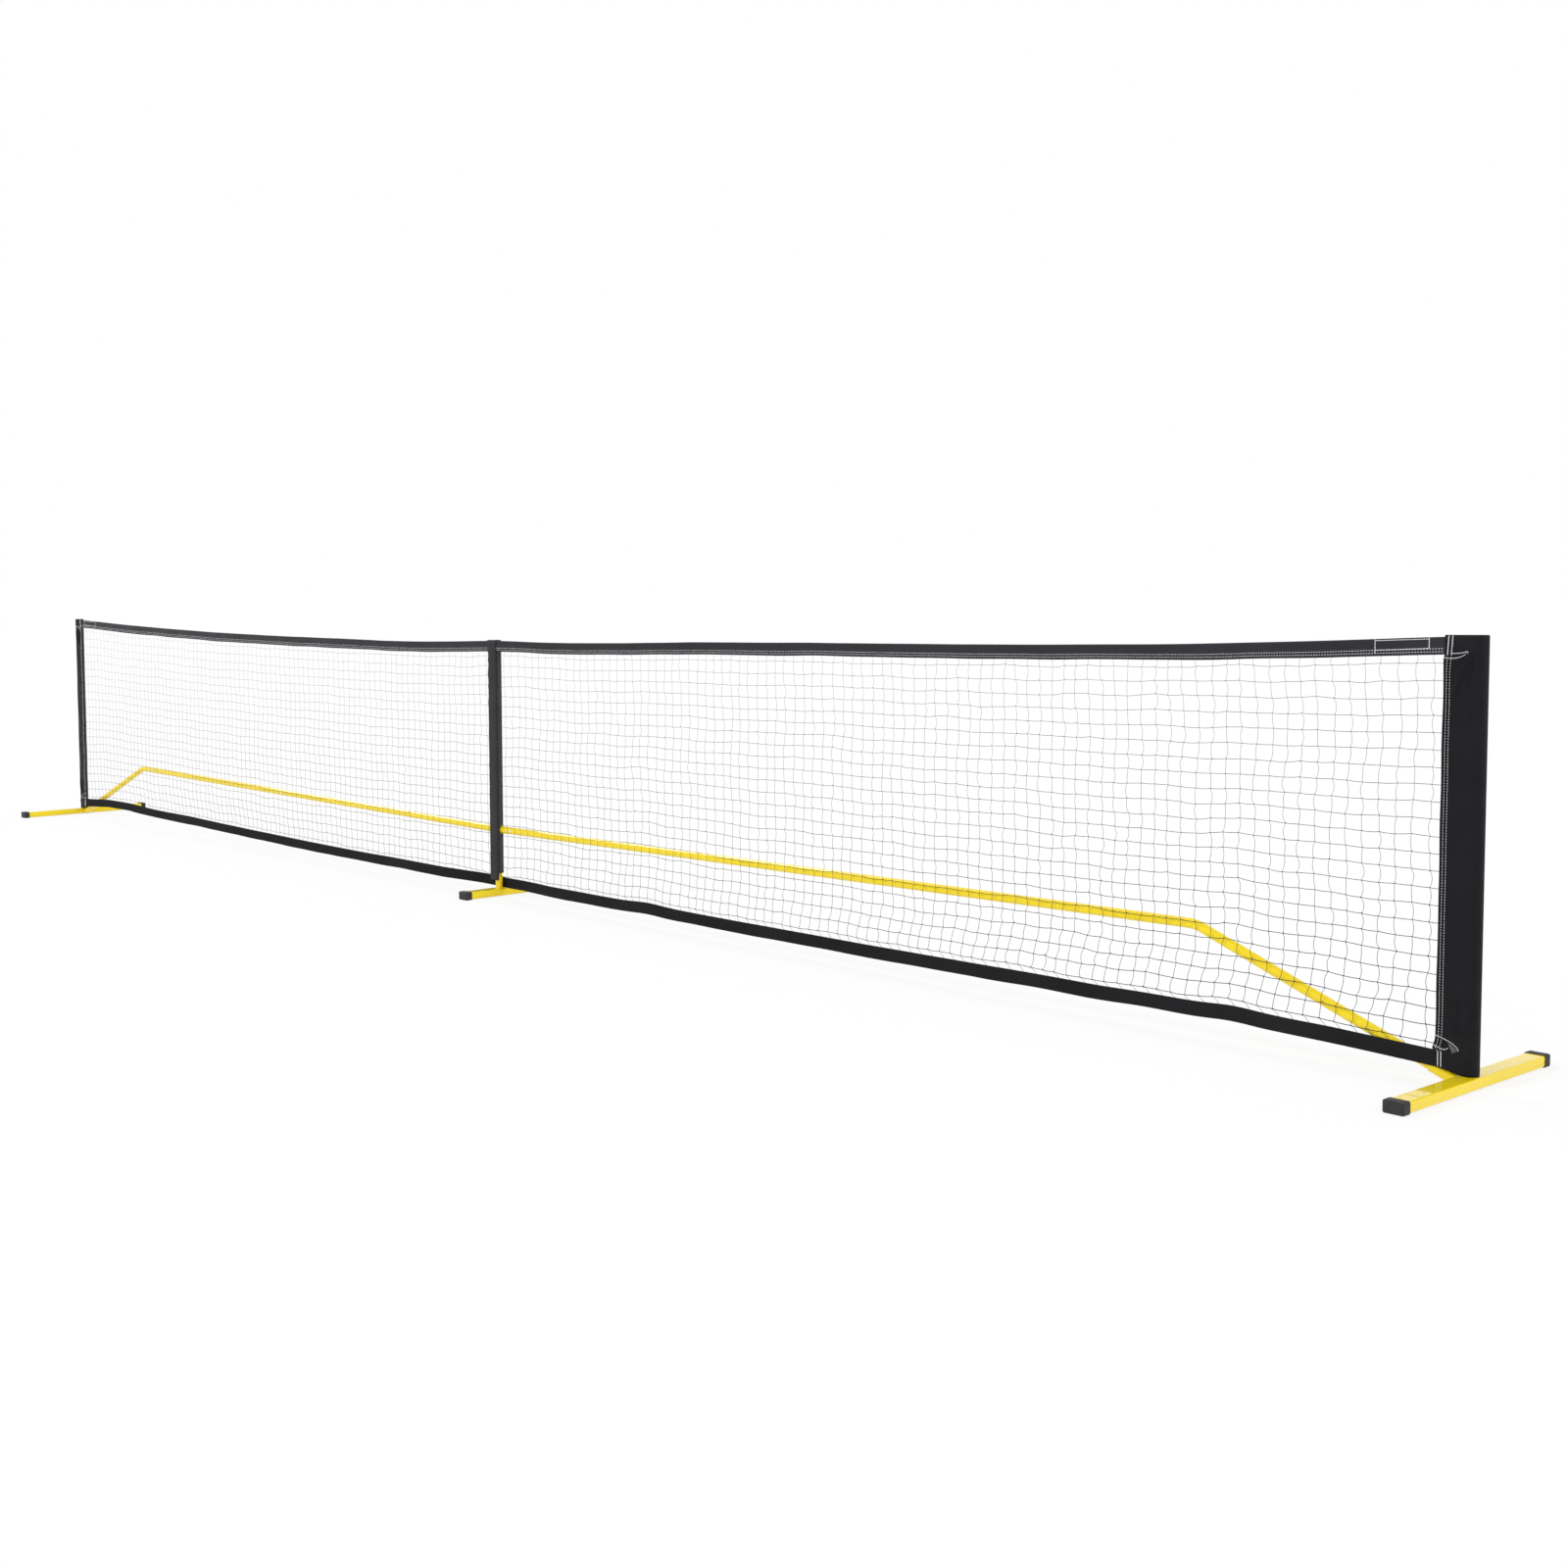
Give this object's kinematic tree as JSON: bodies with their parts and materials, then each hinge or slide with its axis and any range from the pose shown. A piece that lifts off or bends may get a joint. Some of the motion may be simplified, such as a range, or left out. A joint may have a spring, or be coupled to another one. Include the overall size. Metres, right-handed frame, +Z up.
{
  "type": "portable net on poles",
  "caption": "Long low court net with taped edges, sleeved over upright posts, on a free-standing take-apart tube frame with crosswise feet.",
  "frame": {"origin": "on the floor, under the middle of the net", "axes": "+X along the net to the right end, +Y to the back (the net hangs at the front), +Z up"},
  "size_m": [6.7096, 0.6, 0.9145],
  "materials": {
    "powder_coat": "semi-gloss yellow powder coat on steel tube",
    "rubber": "matte moulded rubber",
    "plastic": "matte moulded plastic",
    "fabric": "woven polyester, matte",
    "net_cord": "knotted twine, matte",
    "tie_cord": "braided cord",
    "zinc": "bright zinc plate",
    "spring_steel": "oiled spring steel"
  },
  "bodies": {
    "frame": {"bottom_tape": "fabric", "centre_band": "fabric", "centre_foot": "powder_coat", "centre_foot_cap_back": "rubber", "centre_foot_cap_front": "rubber", "centre_gusset": "powder_coat", "centre_pole": "powder_coat", "centre_pole_cap": "plastic", "centre_tee": "powder_coat", "centre_upright": "powder_coat", "left_angled_socket": "powder_coat", "left_bottom_tie": "tie_cord", "left_corner_spring": "spring_steel", "left_corner_tube": "powder_coat", "left_foot": "powder_coat", "left_foot_cap_back": "rubber", "left_foot_cap_front": "rubber", "left_inner_bar": "powder_coat", "left_middle_spring": "spring_steel", "left_outer_bar": "powder_coat", "left_post": "powder_coat", "left_post_cap": "plastic", "left_post_socket": "powder_coat", "left_sleeve": "fabric", "left_tee_spring": "spring_steel", "left_top_tie": "tie_cord", "net_mesh": "net_cord", "right_angled_socket": "powder_coat", "right_bottom_tie": "tie_cord", "right_corner_spring": "spring_steel", "right_corner_tube": "powder_coat", "right_foot": "powder_coat", "right_foot_cap_back": "rubber", "right_foot_cap_front": "rubber", "right_inner_bar": "powder_coat", "right_middle_spring": "spring_steel", "right_outer_bar": "powder_coat", "right_post": "powder_coat", "right_post_cap": "plastic", "right_post_socket": "powder_coat", "right_sleeve": "fabric", "right_tee_spring": "spring_steel", "right_top_tie": "tie_cord", "top_tape": "fabric"},
    "left_corner_button": {"left_corner_button": "zinc"},
    "left_middle_button": {"left_middle_button": "zinc"},
    "left_tee_button": {"left_tee_button": "zinc"},
    "right_corner_button": {"right_corner_button": "zinc"},
    "right_middle_button": {"right_middle_button": "zinc"},
    "right_tee_button": {"right_tee_button": "zinc"}
  },
  "joints": [
    {"name": "left_corner_button_press", "type": "slide", "parent": "frame", "child": "left_corner_button", "axis": [0, 1, 0], "range_m": [0, 0.0045], "stiffness_N_per_m": 900, "springref_m": -0.002},
    {"name": "left_middle_button_press", "type": "slide", "parent": "frame", "child": "left_middle_button", "axis": [0, 1, 0], "range_m": [0, 0.0045], "stiffness_N_per_m": 900, "springref_m": -0.002},
    {"name": "left_tee_button_press", "type": "slide", "parent": "frame", "child": "left_tee_button", "axis": [0, -1, 0], "range_m": [0, 0.0045], "stiffness_N_per_m": 900, "springref_m": -0.002},
    {"name": "right_corner_button_press", "type": "slide", "parent": "frame", "child": "right_corner_button", "axis": [0, -1, 0], "range_m": [0, 0.0045], "stiffness_N_per_m": 900, "springref_m": -0.002},
    {"name": "right_middle_button_press", "type": "slide", "parent": "frame", "child": "right_middle_button", "axis": [0, -1, 0], "range_m": [0, 0.0045], "stiffness_N_per_m": 900, "springref_m": -0.002},
    {"name": "right_tee_button_press", "type": "slide", "parent": "frame", "child": "right_tee_button", "axis": [0, 1, 0], "range_m": [0, 0.0045], "stiffness_N_per_m": 900, "springref_m": -0.002}
  ]
}
